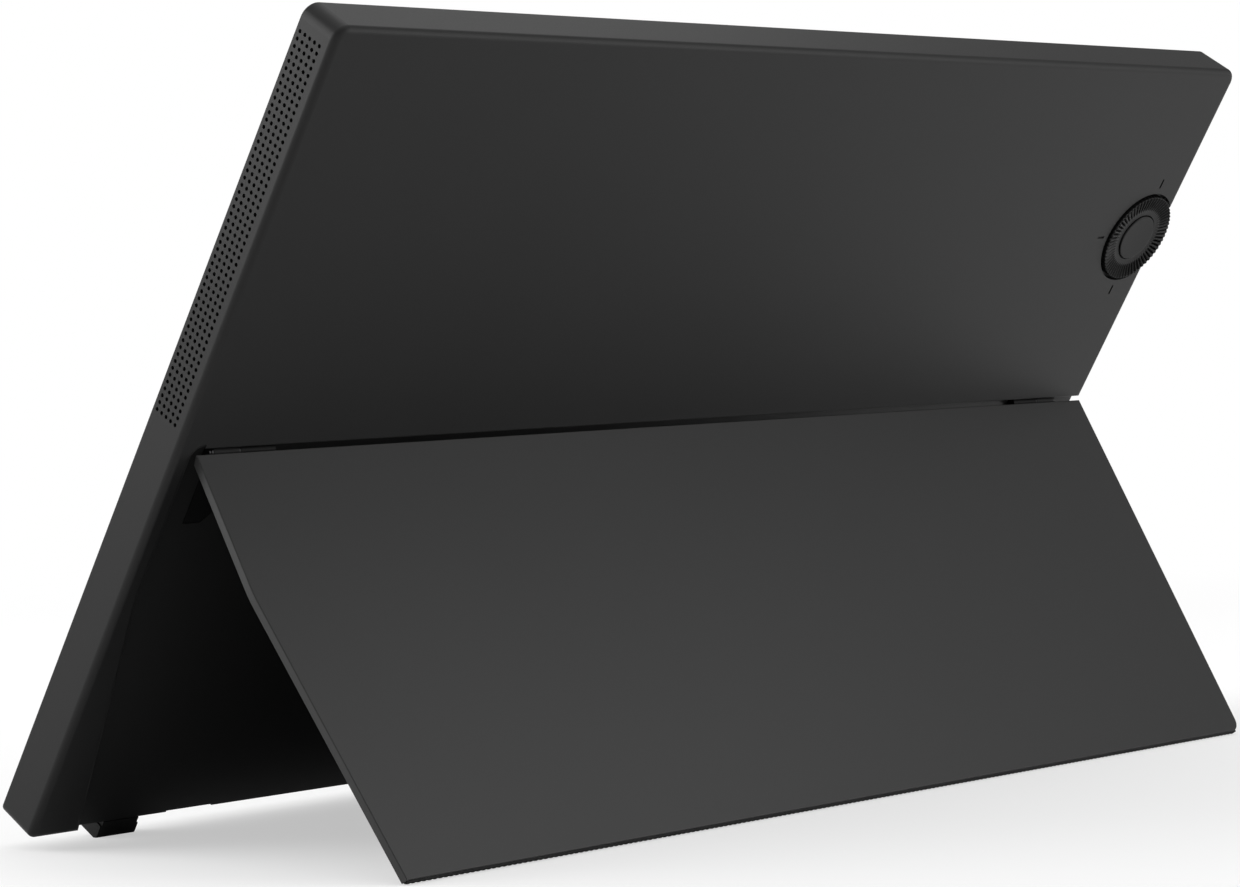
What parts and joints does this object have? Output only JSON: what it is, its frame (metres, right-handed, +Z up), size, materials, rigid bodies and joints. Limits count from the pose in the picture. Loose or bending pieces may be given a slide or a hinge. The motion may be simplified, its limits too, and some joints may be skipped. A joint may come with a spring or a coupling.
{
  "type": "portable monitor",
  "caption": "Thin portable monitor with a wide folding rear stand on hidden hinges, side vents, rubber feet, an edge dial with a press button and side sockets.",
  "frame": {"origin": "bottom centre of the bounding box, on the table that the open monitor stands on", "axes": "+X along the screen's width, to the right seen from the front; +Y to the back, where the stand opens; +Z up. The rest pose has the stand open."},
  "size_m": [0.3282, 0.1138, 0.1806],
  "materials": {
    "casing": "dark anodised, fine matte grain",
    "stand": "dark anodised, fine matte grain",
    "rubber": "matte black",
    "cover_glass": "clear with a black printed border",
    "panel": "black when off",
    "film": "white film",
    "guide": "clear acrylic",
    "frame_plastic": "black moulded",
    "sheet_metal": "plain rolled sheet",
    "steel": "plain",
    "hinge_black": "satin black",
    "hinge_grey": "satin dark grey",
    "brass": "turned",
    "circuit_board": "solder mask",
    "chip": "moulded package",
    "led": "white strip",
    "dial": "satin dark grey",
    "key": "satin dark grey",
    "cable": "polyimide ribbon",
    "mesh": "black dust mesh"
  },
  "bodies": {
    "housing": {"rear_cover": "casing", "front_frame": "frame_plastic", "cover_glass": "cover_glass", "lcd_panel": "panel", "diffuser_sheet": "film", "light_guide": "guide", "led_strip": "led", "reflector_sheet": "film", "panel_back_plate": "sheet_metal", "chassis_plate": "sheet_metal", "case_screws": "steel", "vent_mesh": "mesh", "foot_right": "rubber", "foot_left": "rubber", "tripod_nut": "brass", "main_board": "circuit_board", "board_spacers": "brass", "board_screws": "steel", "scaler_chip": "chip", "board_shield": "steel", "usb_c_shell_upper": "steel", "usb_c_shell_lower": "steel", "usb_c_tongues": "chip", "hdmi_shell": "steel", "hdmi_tongue": "chip", "control_board": "circuit_board", "dial_encoder": "chip", "dial_bush": "brass", "dial_switch": "chip", "key_switches": "chip", "panel_cable": "cable", "control_cable": "cable", "hinge_bracket_right": "hinge_black", "hinge_bracket_left": "hinge_black", "hinge_pin_right": "steel", "hinge_pin_left": "steel", "friction_washers": "steel", "bracket_screws": "steel"},
    "stand": {"stand_plate": "stand", "stand_grip": "rubber", "hinge_leaf_right": "hinge_grey", "hinge_leaf_left": "hinge_grey", "leaf_screws": "steel"},
    "dial": {"dial_wheel": "dial", "dial_clip": "steel"},
    "dial_button": {"dial_cap": "dial"},
    "power_button": {"power_key": "key"},
    "menu_button": {"menu_key": "key"}
  },
  "joints": [
    {"name": "stand_hinge", "type": "hinge", "parent": "housing", "child": "stand", "pos_m": [0.00108, 0.00282, 0.08831], "axis": [1, 0, 0], "range_deg": [-61.3, 12]},
    {"name": "dial_turn", "type": "hinge", "parent": "housing", "child": "dial", "pos_m": [-0.15168, 0.03161, 0.13199], "axis": [0, 0.8559, -0.5172], "continuous": true},
    {"name": "dial_press", "type": "slide", "parent": "housing", "child": "dial_button", "axis": [0, -0.8559, 0.5172], "range_m": [0, 0.0004], "stiffness_N_per_m": 1500},
    {"name": "power_press", "type": "slide", "parent": "housing", "child": "power_button", "axis": [1, 0, 0], "range_m": [0, 0.0004], "stiffness_N_per_m": 1500},
    {"name": "menu_press", "type": "slide", "parent": "housing", "child": "menu_button", "axis": [1, 0, 0], "range_m": [0, 0.0004], "stiffness_N_per_m": 1500}
  ]
}
